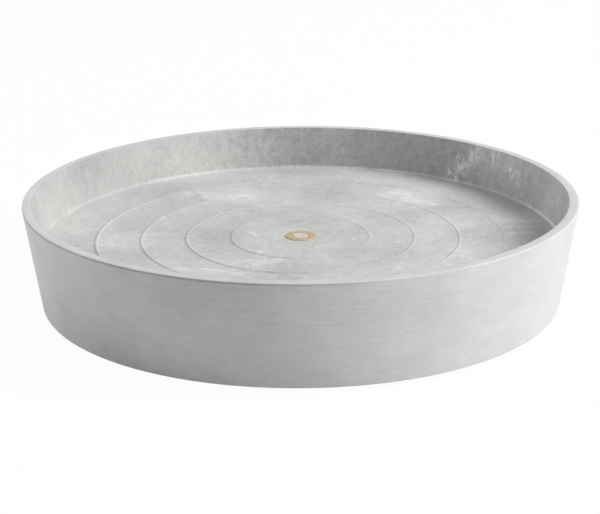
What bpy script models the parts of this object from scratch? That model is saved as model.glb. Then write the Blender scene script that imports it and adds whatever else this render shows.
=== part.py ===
# Rolling plant saucer: a shallow round dish on a hollow skirt, with four swivel castors hidden inside the skirt.
# Metres, +Z up. The origin is on the ground under the middle of the dish.

import math

import bmesh
import bpy
from mathutils import Matrix, Vector

# Clearances
FIT_GAP = 0.0003  # between pieces that touch or run on each other
SKIRT_CLEARANCE = 0.0207  # from a swinging castor to the inside of the skirt
GROUND_GAP = 0.004  # under the skirt, so that only the wheels touch the ground

# Castor
CASTOR_COUNT = 4
WHEEL_RADIUS = 0.015
TYRE_WIDTH = 0.014
TYRE_THICKNESS = 0.004
HUB_RIM_WIDTH = 0.012
HUB_RIM_THICKNESS = 0.0022
HUB_WEB_WIDTH = 0.005
HUB_BOSS_RADIUS = 0.0045
HUB_BOSS_OVERHANG = 0.0006  # past each side of the tyre
TRAIL = 0.012  # from the swivel axis to the axle
AXLE_RADIUS = 0.002
AXLE_HEAD_RADIUS = 0.0036
AXLE_HEAD_HEIGHT = 0.0011
LEG_CLEARANCE = 0.0004  # from the hub's boss to a fork leg
FORK_SHEET = 0.0016
FORK_FOOT_RADIUS = 0.0055
FORK_NECK_WIDTH = 0.017  # of a leg, where it leaves the crown
CROWN_RADIUS = 0.013
CROWN_CLEARANCE = 0.0035  # from the tyre to the crown
RACE_RADIUS = 0.0115
RACE_BORE_RADIUS = 0.005
RACE_HEIGHT = 0.003
KINGPIN_RADIUS = 0.003
KINGPIN_HEAD_RADIUS = 0.0052
KINGPIN_HEAD_HEIGHT = 0.0013
PLATE_SIZE = 0.046
PLATE_CORNER_RADIUS = 0.006
PLATE_THICKNESS = 0.002
SCREW_SPACING = 0.032
SCREW_RADIUS = 0.0017
SCREW_HEAD_RADIUS = 0.0038
SCREW_HEAD_HEIGHT = 0.0018
SCREW_BITE = 0.008  # depth of thread in the moulding
SCREW_RELIEF = 0.0005  # pilot hole past the screw's tip

# Dish and skirt
RIM_RADIUS = 0.225
FOOT_RADIUS = 0.2125
WALL = 0.008
DISH_DEPTH = 0.037
FLOOR_THICKNESS = 0.007
FLOOR_FILLET = 0.0025
RIM_ROUNDING = 0.0012
FOOT_ROUNDING = 0.0015
UNDER_FILLET = 0.004
RIDGE_COUNT = 4
RIDGE_FIRST_RADIUS = 0.0567
RIDGE_PITCH = 0.0369
RIDGE_WIDTH = 0.0046
RIDGE_HEIGHT = 0.0006
PAD_DEPTH = 0.003  # castor pad, below the underside
PAD_BORDER = 0.002  # pad past the castor's plate
RIB_COUNT = 8
RIB_THICKNESS = 0.004
RIB_DEPTH = 0.008
JOIN_OVERLAP = 0.002  # a rib or pad sunk into the wall that carries it

# Drain
DRAIN_RADIUS = 0.0095
DRAIN_BOSS_RADIUS = 0.022
DRAIN_BOSS_DEPTH = 0.008
GROMMET_FLANGE_RADIUS = 0.013
GROMMET_FLANGE_HEIGHT = 0.0006
GROMMET_LIP_RADIUS = 0.0108
GROMMET_LIP_HEIGHT = 0.0025
PLUG_HEAD_RADIUS = 0.0063
PLUG_HEAD_HEIGHT = 0.003
PLUG_DISH_DEPTH = 0.0006
PLUG_STEM_RADIUS = 0.0042
PLUG_STEM_TAPER = 0.0008
PLUG_TIP_PROUD = 0.001  # past the grommet's lip

# Facets
DISH_STEPS = 64
WHEEL_STEPS = 24
RING_STEPS = 16
SMALL_STEPS = 12
SCREW_STEPS = 8
SMOOTH_ANGLE = math.radians(35)

# Heights, built up from the ground
AXLE_Z = WHEEL_RADIUS
CROWN_BOTTOM_Z = 2 * WHEEL_RADIUS + CROWN_CLEARANCE
CROWN_TOP_Z = CROWN_BOTTOM_Z + FORK_SHEET
RACE_BOTTOM_Z = CROWN_TOP_Z + FIT_GAP
RACE_TOP_Z = RACE_BOTTOM_Z + RACE_HEIGHT
PLATE_BOTTOM_Z = RACE_TOP_Z + FIT_GAP
PLATE_TOP_Z = PLATE_BOTTOM_Z + PLATE_THICKNESS
PAD_Z = PLATE_TOP_Z + FIT_GAP
UNDERSIDE_Z = PAD_Z + PAD_DEPTH
FLOOR_Z = UNDERSIDE_Z + FLOOR_THICKNESS
RIM_Z = FLOOR_Z + DISH_DEPTH
BOSS_Z = UNDERSIDE_Z - DRAIN_BOSS_DEPTH

# Widths across the wheel, along its axle
BOSS_HALF = TYRE_WIDTH / 2 + HUB_BOSS_OVERHANG
LEG_INNER = BOSS_HALF + LEG_CLEARANCE
LEG_OUTER = LEG_INNER + FORK_SHEET
TYRE_BORE = WHEEL_RADIUS - TYRE_THICKNESS
HUB_RADIUS = TYRE_BORE - FIT_GAP

# Where the castors stand
WALL_LEAN = (RIM_RADIUS - FOOT_RADIUS) / (RIM_Z - GROUND_GAP)
WALL_ACROSS = WALL * math.hypot(1, WALL_LEAN)
SWING_RADIUS = math.hypot(TRAIL + WHEEL_RADIUS, TYRE_WIDTH / 2)
CASTOR_CIRCLE = FOOT_RADIUS - WALL_ACROSS - SKIRT_CLEARANCE - SWING_RADIUS


def outer_radius(z):
    return FOOT_RADIUS + WALL_LEAN * (z - GROUND_GAP)


def inner_radius(z):
    return outer_radius(z) - WALL_ACROSS


def arc(centre, radius, start, end, count):
    """Points on an arc in the profile's plane, from start to end, in degrees."""
    angles = [math.radians(start + (end - start) * i / count) for i in range(count + 1)]
    return [(centre[0] + radius * math.cos(a), centre[1] + radius * math.sin(a)) for a in angles]


# Scene and materials


def clear_scene():
    for obj in list(bpy.data.objects):
        bpy.data.objects.remove(obj)


def new_collection(name):
    collection = bpy.data.collections.new(name)
    bpy.context.scene.collection.children.link(collection)
    return collection


def material(name, colour, roughness, metallic=0.0):
    made = bpy.data.materials.new(name)
    made.use_nodes = True
    shader = made.node_tree.nodes["Principled BSDF"]
    shader.inputs["Base Color"].default_value = (*colour, 1.0)
    shader.inputs["Roughness"].default_value = roughness
    shader.inputs["Metallic"].default_value = metallic
    return made


# Shapes


def new_object(name, mesh, collection, finish=None):
    obj = bpy.data.objects.new(name, mesh)
    collection.objects.link(obj)
    if finish:
        mesh.materials.clear()
        mesh.materials.append(finish)
    return obj


def as_helper(obj):
    obj.hide_render = True
    obj.display_type = "WIRE"
    return obj


def mesh_from(bm, name):
    mesh = bpy.data.meshes.new(name)
    bm.to_mesh(mesh)
    bm.free()
    return mesh


def turned(name, profile, steps, collection):
    """A closed profile of (radius, height) points, turned about Z."""
    bm = bmesh.new()
    points = [bm.verts.new((r, 0, z)) for r, z in profile]
    for first, second in zip(points, points[1:] + points[:1]):
        bm.edges.new((first, second))
    obj = new_object(name, mesh_from(bm, name), collection)
    screw = obj.modifiers.new("turn", "SCREW")
    screw.axis = "Z"
    screw.steps = screw.render_steps = steps
    screw.use_merge_vertices = True
    screw.merge_threshold = 0.00001
    return obj


def solid_turned(name, profile, steps, collection):
    """An open profile that starts and ends on the axis, turned about Z into a solid."""
    bm = bmesh.new()
    points = [bm.verts.new((r, 0, z)) for r, z in profile]
    for first, second in zip(points, points[1:]):
        bm.edges.new((first, second))
    obj = new_object(name, mesh_from(bm, name), collection)
    screw = obj.modifiers.new("turn", "SCREW")
    screw.axis = "Z"
    screw.steps = screw.render_steps = steps
    screw.use_merge_vertices = True
    screw.merge_threshold = 0.00001
    return obj


def cylinders(name, places, collection, steps=SMALL_STEPS):
    """One helper mesh of upright cylinders, each (x, y, bottom, top, radius), the radius to the flats."""
    bm = bmesh.new()
    for x, y, bottom, top, radius in places:
        middle = Matrix.Translation((x, y, (bottom + top) / 2))
        corner = radius / math.cos(math.pi / steps)
        bmesh.ops.create_cone(
            bm, cap_ends=True, segments=steps, radius1=corner, radius2=corner, depth=top - bottom, matrix=middle
        )
    return as_helper(new_object(name, mesh_from(bm, name), collection))


def boolean(obj, other, operation):
    made = obj.modifiers.new(operation.lower(), "BOOLEAN")
    made.operation = operation
    made.object = other


def rounded_square(size, corner, count=3):
    half = size / 2 - corner
    points = []
    for quarter, (sx, sy) in enumerate(((1, 1), (-1, 1), (-1, -1), (1, -1))):
        points += arc((sx * half, sy * half), corner, 90 * quarter, 90 * quarter + 90, count)
    return points


def slab(name, outline, thickness, collection):
    """A flat outline in XY with its thickness centred on the plane."""
    curve = bpy.data.curves.new(name, "CURVE")
    curve.dimensions = "2D"
    curve.fill_mode = "BOTH"
    curve.extrude = thickness / 2
    spline = curve.splines.new("POLY")
    spline.points.add(len(outline) - 1)
    for point, (x, y) in zip(spline.points, outline):
        point.co = (x, y, 0, 1)
    spline.use_cyclic_u = True
    return new_object(name, curve, collection)


def baked(obj, name):
    """The object as its modifiers show it, as a welded mesh in world space. The object is removed."""
    bpy.context.view_layer.update()
    graph = bpy.context.evaluated_depsgraph_get()
    mesh = bpy.data.meshes.new_from_object(obj.evaluated_get(graph))
    mesh.name = name
    bm = bmesh.new()
    bm.from_mesh(mesh)
    bm.transform(obj.matrix_world)
    bmesh.ops.remove_doubles(bm, verts=bm.verts, dist=0.000005)
    bm.to_mesh(mesh)
    bm.free()
    bpy.data.objects.remove(obj)
    mesh.shade_smooth()
    mesh.set_sharp_from_angle(angle=SMOOTH_ANGLE)
    return mesh


# The moulded dish with its skirt


def ridge_points(radius):
    """A low ridge in the floor's profile, from its inner foot to its outer one."""
    half = RIDGE_WIDTH / 2
    return [(radius - half, FLOOR_Z), (radius, FLOOR_Z + RIDGE_HEIGHT), (radius + half, FLOOR_Z)]


def dish_profile():
    rim_outer = (outer_radius(RIM_Z) - RIM_ROUNDING, RIM_Z - RIM_ROUNDING)
    rim_inner = (inner_radius(RIM_Z) + RIM_ROUNDING, RIM_Z - RIM_ROUNDING)
    foot_outer = (FOOT_RADIUS - FOOT_ROUNDING, GROUND_GAP + FOOT_ROUNDING)
    foot_inner = (inner_radius(GROUND_GAP) + FOOT_ROUNDING, GROUND_GAP + FOOT_ROUNDING)
    under_corner = (inner_radius(UNDERSIDE_Z) - UNDER_FILLET, UNDERSIDE_Z - UNDER_FILLET)
    floor_corner = (inner_radius(FLOOR_Z + FLOOR_FILLET) - FLOOR_FILLET, FLOOR_Z + FLOOR_FILLET)
    profile = arc(rim_outer, RIM_ROUNDING, 90, 0, 2)
    profile += arc(foot_outer, FOOT_ROUNDING, 0, -90, 2)
    profile += arc(foot_inner, FOOT_ROUNDING, -90, -180, 2)
    profile += arc(under_corner, UNDER_FILLET, 0, 90, 2)
    profile += [(DRAIN_BOSS_RADIUS, UNDERSIDE_Z), (DRAIN_BOSS_RADIUS, BOSS_Z)]
    profile += [(DRAIN_RADIUS, BOSS_Z), (DRAIN_RADIUS, FLOOR_Z)]
    for ring in range(RIDGE_COUNT):
        profile += ridge_points(RIDGE_FIRST_RADIUS + ring * RIDGE_PITCH)
    profile += arc(floor_corner, FLOOR_FILLET, -90, 0, 3)
    profile += arc(rim_inner, RIM_ROUNDING, 180, 90, 2)
    return profile


def rib_bars(collection):
    """Radial ribs under the floor, from the drain's boss to the skirt."""
    start = DRAIN_BOSS_RADIUS - JOIN_OVERLAP
    end = inner_radius(UNDERSIDE_Z - RIB_DEPTH) + JOIN_OVERLAP
    bottom, top = UNDERSIDE_Z - RIB_DEPTH, UNDERSIDE_Z + JOIN_OVERLAP
    size = Matrix.Diagonal((end - start, RIB_THICKNESS, top - bottom, 1))
    place = Matrix.Translation(((start + end) / 2, 0, (bottom + top) / 2))
    bm = bmesh.new()
    for rib in range(RIB_COUNT):
        turn = Matrix.Rotation(2 * math.pi * (rib + 0.5) / RIB_COUNT, 4, "Z")
        bmesh.ops.create_cube(bm, size=1, matrix=turn @ place @ size)
    return as_helper(new_object("ribs", mesh_from(bm, "ribs"), collection))


def castor_frames():
    """Where each castor stands: its swivel axis, with +X along its trail, towards the middle of the dish."""
    frames = []
    for number in range(CASTOR_COUNT):
        angle = 2 * math.pi * number / CASTOR_COUNT
        place = Matrix.Translation((CASTOR_CIRCLE * math.cos(angle), CASTOR_CIRCLE * math.sin(angle), 0))
        frames.append(place @ Matrix.Rotation(angle + math.pi, 4, "Z"))
    return frames


def screw_places():
    half = SCREW_SPACING / 2
    return [(sx * half, sy * half) for sx, sy in ((1, 1), (-1, 1), (-1, -1), (1, -1))]


def pad_blocks(frames, collection):
    """A flat pad under the floor for each castor's plate."""
    size = PLATE_SIZE + 2 * PAD_BORDER
    top = UNDERSIDE_Z + JOIN_OVERLAP
    outline = rounded_square(size, PLATE_CORNER_RADIUS + PAD_BORDER)
    pad = baked(slab("pad", outline, top - PAD_Z, collection), "pad")
    bm = bmesh.new()
    for frame in frames:
        copy = pad.copy()
        copy.transform(frame @ Matrix.Translation((0, 0, (top + PAD_Z) / 2)))
        bm.from_mesh(copy)
    return as_helper(new_object("pads", mesh_from(bm, "pads"), collection))


def dish_cutters(frames, collection):
    """Pilot holes for the castors' screws, and a pocket in each pad for the head of the kingpin."""
    places = []
    low = PAD_Z - JOIN_OVERLAP
    for frame in frames:
        for x, y in screw_places():
            spot = frame @ Vector((x, y, 0))
            tip = PAD_Z + SCREW_BITE + SCREW_RELIEF
            places.append((spot.x, spot.y, low, tip, SCREW_RADIUS + FIT_GAP))
        pocket_top = PLATE_TOP_Z + FIT_GAP + KINGPIN_HEAD_HEIGHT + FIT_GAP
        centre = frame.translation
        places.append((centre.x, centre.y, low, pocket_top, KINGPIN_HEAD_RADIUS + FIT_GAP))
    return cylinders("dish_holes", places, collection, SCREW_STEPS)


def make_dish(frames, parts, helpers, finish):
    dish = turned("saucer_shell", dish_profile(), DISH_STEPS, parts)
    dish.data.materials.append(finish)
    boolean(dish, rib_bars(helpers), "UNION")
    boolean(dish, pad_blocks(frames, helpers), "UNION")
    boolean(dish, dish_cutters(frames, helpers), "DIFFERENCE")
    return dish


# Drain


def grommet_profile():
    bore = PLUG_STEM_RADIUS + FIT_GAP
    seat_radius = PLUG_HEAD_RADIUS + FIT_GAP
    neck = DRAIN_RADIUS - FIT_GAP
    under = FLOOR_Z + FIT_GAP
    top = under + GROMMET_FLANGE_HEIGHT
    step = top - PLUG_HEAD_HEIGHT - FIT_GAP
    lip_top = BOSS_Z - FIT_GAP
    lip_bottom = lip_top - GROMMET_LIP_HEIGHT
    round_off = GROMMET_FLANGE_HEIGHT / 2
    crown = (GROMMET_FLANGE_RADIUS - round_off, under + round_off)
    return [
        *arc(crown, round_off, 90, -90, 4),
        (neck, under),
        (neck, lip_top),
        (GROMMET_LIP_RADIUS, lip_top),
        (neck, lip_bottom),
        (bore, lip_bottom),
        (bore, step),
        (seat_radius, step),
        (seat_radius, top),
    ]


def plug_profile():
    top = FLOOR_Z + FIT_GAP + GROMMET_FLANGE_HEIGHT
    shoulder = top - PLUG_HEAD_HEIGHT
    tip = BOSS_Z - FIT_GAP - GROMMET_LIP_HEIGHT - PLUG_TIP_PROUD
    return [
        (0, top - PLUG_DISH_DEPTH),
        (PLUG_HEAD_RADIUS - PLUG_STEM_TAPER, top),
        (PLUG_HEAD_RADIUS, top),
        (PLUG_HEAD_RADIUS, shoulder),
        (PLUG_STEM_RADIUS, shoulder),
        (PLUG_STEM_RADIUS, tip + PLUG_STEM_TAPER),
        (PLUG_STEM_RADIUS - PLUG_STEM_TAPER, tip),
        (0, tip),
    ]


def make_drain(parts, rubber, stone):
    grommet = turned("drain_grommet", grommet_profile(), RING_STEPS, parts)
    grommet.data.materials.append(rubber)
    plug = solid_turned("drain_plug", plug_profile(), RING_STEPS, parts)
    plug.data.materials.append(stone)


# Castor pieces, each in the castor's own frame


def plate_mesh(parts, helpers):
    plate = slab("plate", rounded_square(PLATE_SIZE, PLATE_CORNER_RADIUS), PLATE_THICKNESS, helpers)
    plate.location.z = (PLATE_BOTTOM_Z + PLATE_TOP_Z) / 2
    solid = new_object("plate", baked(plate, "castor_plate"), parts)
    low, high = PLATE_BOTTOM_Z - PLATE_THICKNESS, PLATE_TOP_Z + PLATE_THICKNESS
    holes = [(x, y, low, high, SCREW_RADIUS + FIT_GAP) for x, y in screw_places()]
    holes.append((0, 0, low, high, KINGPIN_RADIUS + FIT_GAP))
    cutter = cylinders("plate_holes", holes, helpers)
    boolean(solid, cutter, "DIFFERENCE")
    mesh = baked(solid, "castor_plate")
    bpy.data.objects.remove(cutter)
    return mesh


def race_mesh(parts):
    """The ring of balls between plate and fork, as its closed cage."""
    belly = RACE_HEIGHT / 2
    middle = (RACE_BOTTOM_Z + RACE_TOP_Z) / 2
    profile = arc((RACE_RADIUS - belly, middle), belly, 90, -90, 3)
    profile += [(RACE_BORE_RADIUS, RACE_BOTTOM_Z), (RACE_BORE_RADIUS, RACE_TOP_Z)]
    return baked(turned("race", profile, RING_STEPS, parts), "castor_race")


def headed_pin(name, radius, head_radius, head_height, low, high, parts):
    """A pin with a rounded head at each end; low and high are the inner faces of its heads."""
    crown = head_radius - head_height / 2
    profile = [
        (0, high + head_height),
        (crown, high + head_height),
        (head_radius, high + head_height / 2),
        (head_radius, high),
        (radius, high),
        (radius, low),
        (head_radius, low),
        (head_radius, low - head_height / 2),
        (crown, low - head_height),
        (0, low - head_height),
    ]
    return baked(solid_turned(name, profile, SMALL_STEPS, parts), name)


def kingpin_mesh(parts):
    return headed_pin(
        "castor_kingpin",
        KINGPIN_RADIUS,
        KINGPIN_HEAD_RADIUS,
        KINGPIN_HEAD_HEIGHT,
        CROWN_BOTTOM_Z - FIT_GAP,
        PLATE_TOP_Z + FIT_GAP,
        parts,
    )


def axle_mesh(parts):
    reach = LEG_OUTER + FIT_GAP
    mesh = headed_pin("castor_axle", AXLE_RADIUS, AXLE_HEAD_RADIUS, AXLE_HEAD_HEIGHT, -reach, reach, parts)
    mesh.transform(Matrix.Rotation(math.pi / 2, 4, "X"))
    return mesh


def leg_outline():
    """A fork leg seen along the axle: straight from the crown, round the axle and back."""
    half = FORK_NECK_WIDTH / 2
    slope = math.degrees(math.atan2(TRAIL, CROWN_TOP_Z - AXLE_Z))
    foot = arc((TRAIL, AXLE_Z), FORK_FOOT_RADIUS, -180 + slope / 2, slope / 2, 8)
    return [(half, CROWN_TOP_Z), (-half, CROWN_TOP_Z), *foot]


def fork_mesh(parts, helpers):
    """The stamped fork: a round crown and a leg bent down at each side."""
    crown = cylinders("crown", [(0, 0, CROWN_BOTTOM_Z, CROWN_TOP_Z, CROWN_RADIUS)], helpers, WHEEL_STEPS)
    fork = new_object("fork", baked(crown, "castor_fork"), parts)
    upright = Matrix.Rotation(math.pi / 2, 4, "X")
    legs = []
    for side in (-1, 1):
        leg = slab("leg", leg_outline(), FORK_SHEET, helpers)
        leg.matrix_world = Matrix.Translation((0, side * (LEG_INNER + LEG_OUTER) / 2, 0)) @ upright
        legs.append(as_helper(new_object("leg", baked(leg, "leg"), helpers)))
        boolean(fork, legs[-1], "UNION")
    pivot = cylinders(
        "pivot_hole", [(0, 0, AXLE_Z, PLATE_TOP_Z, KINGPIN_RADIUS + FIT_GAP)], helpers
    )
    axle_hole = cylinders("axle_hole", [(0, 0, -2 * LEG_OUTER, 2 * LEG_OUTER, AXLE_RADIUS + FIT_GAP)], helpers)
    axle_hole.matrix_world = Matrix.Translation((TRAIL, 0, AXLE_Z)) @ upright
    boolean(fork, pivot, "DIFFERENCE")
    boolean(fork, axle_hole, "DIFFERENCE")
    mesh = baked(fork, "castor_fork")
    for helper in (*legs, pivot, axle_hole):
        bpy.data.objects.remove(helper)
    return mesh


def hub_mesh(parts):
    """The wheel's core: boss, web and rim, turned about the axle."""
    bore = AXLE_RADIUS + FIT_GAP
    rim_inner = HUB_RADIUS - HUB_RIM_THICKNESS
    profile = [
        (HUB_RADIUS, HUB_RIM_WIDTH / 2),
        (HUB_RADIUS, -HUB_RIM_WIDTH / 2),
        (rim_inner, -HUB_RIM_WIDTH / 2),
        (rim_inner, -HUB_WEB_WIDTH / 2),
        (HUB_BOSS_RADIUS, -HUB_WEB_WIDTH / 2),
        (HUB_BOSS_RADIUS, -BOSS_HALF),
        (bore, -BOSS_HALF),
        (bore, BOSS_HALF),
        (HUB_BOSS_RADIUS, BOSS_HALF),
        (HUB_BOSS_RADIUS, HUB_WEB_WIDTH / 2),
        (rim_inner, HUB_WEB_WIDTH / 2),
        (rim_inner, HUB_RIM_WIDTH / 2),
    ]
    mesh = baked(turned("hub", profile, RING_STEPS, parts), "castor_hub")
    mesh.transform(Matrix.Rotation(math.pi / 2, 4, "X"))
    return mesh


def tyre_mesh(parts):
    """The tread: a ring with a flat running face and rounded shoulders."""
    half = TYRE_WIDTH / 2
    shoulder = TYRE_THICKNESS / 2
    profile = [
        (WHEEL_RADIUS, half - shoulder),
        (WHEEL_RADIUS, shoulder - half),
        (WHEEL_RADIUS - shoulder, -half),
        (TYRE_BORE, -half),
        (TYRE_BORE, half),
        (WHEEL_RADIUS - shoulder, half),
    ]
    mesh = baked(turned("tyre", profile, WHEEL_STEPS, parts), "castor_tyre")
    mesh.transform(Matrix.Rotation(math.pi / 2, 4, "X"))
    return mesh


def screw_mesh(parts):
    """A pan-head screw standing under the plate, head down, its shank up into the moulding."""
    seat = PLATE_BOTTOM_Z - FIT_GAP
    tip = PAD_Z + SCREW_BITE
    profile = [
        (0, tip),
        (SCREW_RADIUS, tip - SCREW_RADIUS),
        (SCREW_RADIUS, seat),
        (SCREW_HEAD_RADIUS, seat),
        (SCREW_HEAD_RADIUS, seat - SCREW_HEAD_HEIGHT / 2),
        (SCREW_HEAD_RADIUS - SCREW_HEAD_HEIGHT / 2, seat - SCREW_HEAD_HEIGHT),
        (0, seat - SCREW_HEAD_HEIGHT),
    ]
    return baked(solid_turned("screw", profile, SCREW_STEPS, parts), "castor_screw")


def castor_meshes(parts, helpers, zinc, nylon, rubber):
    made = {
        "plate": (plate_mesh(parts, helpers), zinc),
        "race": (race_mesh(parts), zinc),
        "kingpin": (kingpin_mesh(parts), zinc),
        "fork": (fork_mesh(parts, helpers), zinc),
        "axle": (axle_mesh(parts), zinc),
        "hub": (hub_mesh(parts), nylon),
        "tyre": (tyre_mesh(parts), rubber),
        "screw": (screw_mesh(parts), zinc),
    }
    return {kind: finished(mesh, finish) for kind, (mesh, finish) in made.items()}


def finished(mesh, finish):
    mesh.materials.clear()
    mesh.materials.append(finish)
    return mesh


def place_castor(number, frame, meshes, parts):
    """One castor's pieces on an empty at its swivel axis, with the wheel about its axle."""
    swivel = new_object(f"castor_{number}_swivel_axis", None, parts)
    swivel.matrix_world = frame

    def add(kind, label, offset):
        piece = new_object(f"castor_{number}_{label}", meshes[kind], parts)
        piece.parent = swivel
        piece.location = offset

    for kind in ("plate", "race", "kingpin", "fork"):
        add(kind, kind, (0, 0, 0))
    for kind, label in (("axle", "axle"), ("hub", "wheel_hub"), ("tyre", "tyre")):
        add(kind, label, (TRAIL, 0, AXLE_Z))
    for screw, (x, y) in enumerate(screw_places(), start=1):
        add("screw", f"screw_{screw}", (x, y, 0))


def main():
    clear_scene()
    parts = new_collection("plant_saucer")
    helpers = new_collection("cutters")
    stone = material("pale_grey_composite", (0.62, 0.62, 0.605), 0.75)
    tan_rubber = material("tan_rubber", (0.55, 0.37, 0.16), 0.6)
    zinc = material("zinc_plated_steel", (0.62, 0.63, 0.64), 0.35, 1.0)
    nylon = material("black_nylon", (0.03, 0.03, 0.032), 0.5)
    tyre_rubber = material("grey_tyre_rubber", (0.12, 0.12, 0.125), 0.8)
    frames = castor_frames()
    make_dish(frames, parts, helpers, stone)
    make_drain(parts, tan_rubber, stone)
    meshes = castor_meshes(parts, helpers, zinc, nylon, tyre_rubber)
    for number, frame in enumerate(frames, start=1):
        place_castor(number, frame, meshes, parts)
    bpy.context.view_layer.update()


main()
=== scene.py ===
import math

import bmesh
import bpy
from mathutils import Matrix, Vector


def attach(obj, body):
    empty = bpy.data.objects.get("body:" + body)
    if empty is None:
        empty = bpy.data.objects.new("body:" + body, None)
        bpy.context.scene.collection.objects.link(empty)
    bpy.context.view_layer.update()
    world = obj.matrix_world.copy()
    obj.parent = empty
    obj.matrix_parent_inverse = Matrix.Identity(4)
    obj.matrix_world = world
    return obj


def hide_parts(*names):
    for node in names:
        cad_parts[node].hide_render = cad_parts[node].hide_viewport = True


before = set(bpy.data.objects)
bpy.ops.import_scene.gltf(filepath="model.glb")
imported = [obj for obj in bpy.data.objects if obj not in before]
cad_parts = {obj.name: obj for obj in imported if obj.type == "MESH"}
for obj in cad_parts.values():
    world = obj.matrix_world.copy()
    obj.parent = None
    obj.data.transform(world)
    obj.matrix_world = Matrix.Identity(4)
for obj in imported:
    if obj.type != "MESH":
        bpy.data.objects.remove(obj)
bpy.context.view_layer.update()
scene = bpy.context.scene
scene.view_settings.view_transform = "Standard"
print("frame loaded:", len(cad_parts), "nodes")


# node helpers

def put(tree, kind, feeds=None, **settings):
    node = tree.nodes.new(kind)
    for name, value in settings.items():
        setattr(node, name, value)
    for socket, source in (feeds or {}).items():
        if isinstance(source, bpy.types.NodeSocket):
            tree.links.new(source, node.inputs[socket])
        else:
            node.inputs[socket].default_value = source
    return node


def made(tree, kind, feeds=None, **settings):
    return put(tree, kind, feeds, **settings).outputs[0]


def link(source, target):
    target.id_data.links.new(source, target)


def treeOf(values):  # the tree that the sockets among the values belong to
    return next(value.id_data for value in values if isinstance(value, bpy.types.NodeSocket))


def calc(operation, *values):
    return made(treeOf(values), "ShaderNodeMath", dict(enumerate(values)), operation=operation)


def both(*masks):
    product = masks[0]
    for mask in masks[1:]:
        product = calc("MULTIPLY", product, mask)
    return product


def vector(operation, first, second=None, output="Vector"):
    feeds = {0: first}
    if second is not None:
        feeds["Scale" if operation == "SCALE" else 1] = second
    return put(first.id_data, "ShaderNodeVectorMath", feeds, operation=operation).outputs[output]


def combined(**parts):
    return made(treeOf(parts.values()), "ShaderNodeCombineXYZ", parts)


def grouped(group, **feeds):
    return put(treeOf(feeds.values()), "ShaderNodeGroup", feeds, node_tree=group).outputs


def ramp(value, low, high, toLow=0.0, toHigh=1.0):
    feeds = {"Value": value, "From Min": low, "From Max": high, "To Min": toLow, "To Max": toHigh}
    return made(value.id_data, "ShaderNodeMapRange", feeds, interpolation_type="SMOOTHSTEP")


def clamped(value, low, high):
    return calc("MINIMUM", calc("MAXIMUM", value, low), high)


def offNearestRing(radius, first, pitch, last):  # signed distance to the nearest of evenly spaced rings
    step = calc("DIVIDE", calc("SUBTRACT", radius, first), pitch)
    return both(calc("SUBTRACT", step, clamped(calc("ROUND", step), 0.0, last)), pitch)


def newGroup(name, kind, inputs, outputs):  # an input's value is what it starts with, or what it holds
    tree = bpy.data.node_groups.new(name, kind)
    kinds = {int: "Int", float: "Float"}
    for label, value in inputs.items():
        holds = kinds.get(type(value), value)
        socket = tree.interface.new_socket(label, in_out="INPUT", socket_type=f"NodeSocket{holds}")
        if holds != value:
            socket.default_value = value
    for label, holds in outputs.items():
        tree.interface.new_socket(label, in_out="OUTPUT", socket_type=f"NodeSocket{holds}")
    return tree, tree.nodes.new("NodeGroupInput").outputs, tree.nodes.new("NodeGroupOutput").inputs


def newGeometry(name, **inputs):
    inputs = {"Geometry": "Geometry", **inputs, "Material": "Material"}
    return newGroup(name, "GeometryNodeTree", inputs, {"Geometry": "Geometry"})


# mesh helpers

weld = 1e-6  # points nearer than this become one


def addObject(name, data):
    obj = bpy.data.objects.new(name, data)
    scene.collection.objects.link(obj)
    return obj


def bakeMesh(obj):  # what the modifiers show, as a closed plain mesh; the object goes
    bpy.context.view_layer.update()
    shown = obj.evaluated_get(bpy.context.evaluated_depsgraph_get())
    mesh = bpy.data.meshes.new_from_object(shown)
    mesh.name = obj.data.name
    bpy.data.objects.remove(obj)
    tidy = bmesh.new()
    tidy.from_mesh(mesh)
    bmesh.ops.remove_doubles(tidy, verts=tidy.verts, dist=weld)
    bmesh.ops.recalc_face_normals(tidy, faces=tidy.faces)
    tidy.to_mesh(mesh)
    tidy.free()
    return mesh


def combine(first, second, operation):
    body = addObject("combineBody", first)
    tool = addObject("combineTool", second)
    modifier = body.modifiers.new("combine", "BOOLEAN")
    modifier.operation = operation
    modifier.object = tool
    mesh = bakeMesh(body)
    bpy.data.objects.remove(tool)
    return mesh


def bevelled(mesh, width, segments=2, angle=35):
    obj = addObject("bevelBody", mesh)
    modifier = obj.modifiers.new("bevel", "BEVEL")
    modifier.width = width
    modifier.segments = segments
    modifier.limit_method = "ANGLE"
    modifier.angle_limit = math.radians(angle)
    return bakeMesh(obj)


def smooth(mesh, angle=35):
    mesh.shade_smooth()
    mesh.set_sharp_from_angle(angle=math.radians(angle))
    return mesh


def take(size, names):
    return (size[name] for name in names.split())


def arc(centre, radius, start, end, count):
    turns = [math.radians(start + (end - start) * i / count) for i in range(count + 1)]
    return [(centre[0] + radius * math.cos(t), centre[1] + radius * math.sin(t)) for t in turns]


def meshOf(name, shape):
    mesh = bpy.data.meshes.new(name)
    shape.to_mesh(mesh)
    shape.free()
    return mesh


def prism(name, outline, low, high):  # flat outline in XY, drawn up from low to high
    shape = bmesh.new()
    bottom = [shape.verts.new((x, y, low)) for x, y in outline]
    face = shape.faces.new(bottom)
    drawn = bmesh.ops.extrude_face_region(shape, geom=[face])["geom"]
    upper = [item for item in drawn if isinstance(item, bmesh.types.BMVert)]
    bmesh.ops.translate(shape, verts=upper, vec=(0, 0, high - low))
    bmesh.ops.recalc_face_normals(shape, faces=shape.faces)
    return meshOf(name, shape)


def joined(name, meshes):
    shape = bmesh.new()
    for mesh in meshes:
        shape.from_mesh(mesh)
    return meshOf(name, shape)


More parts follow.
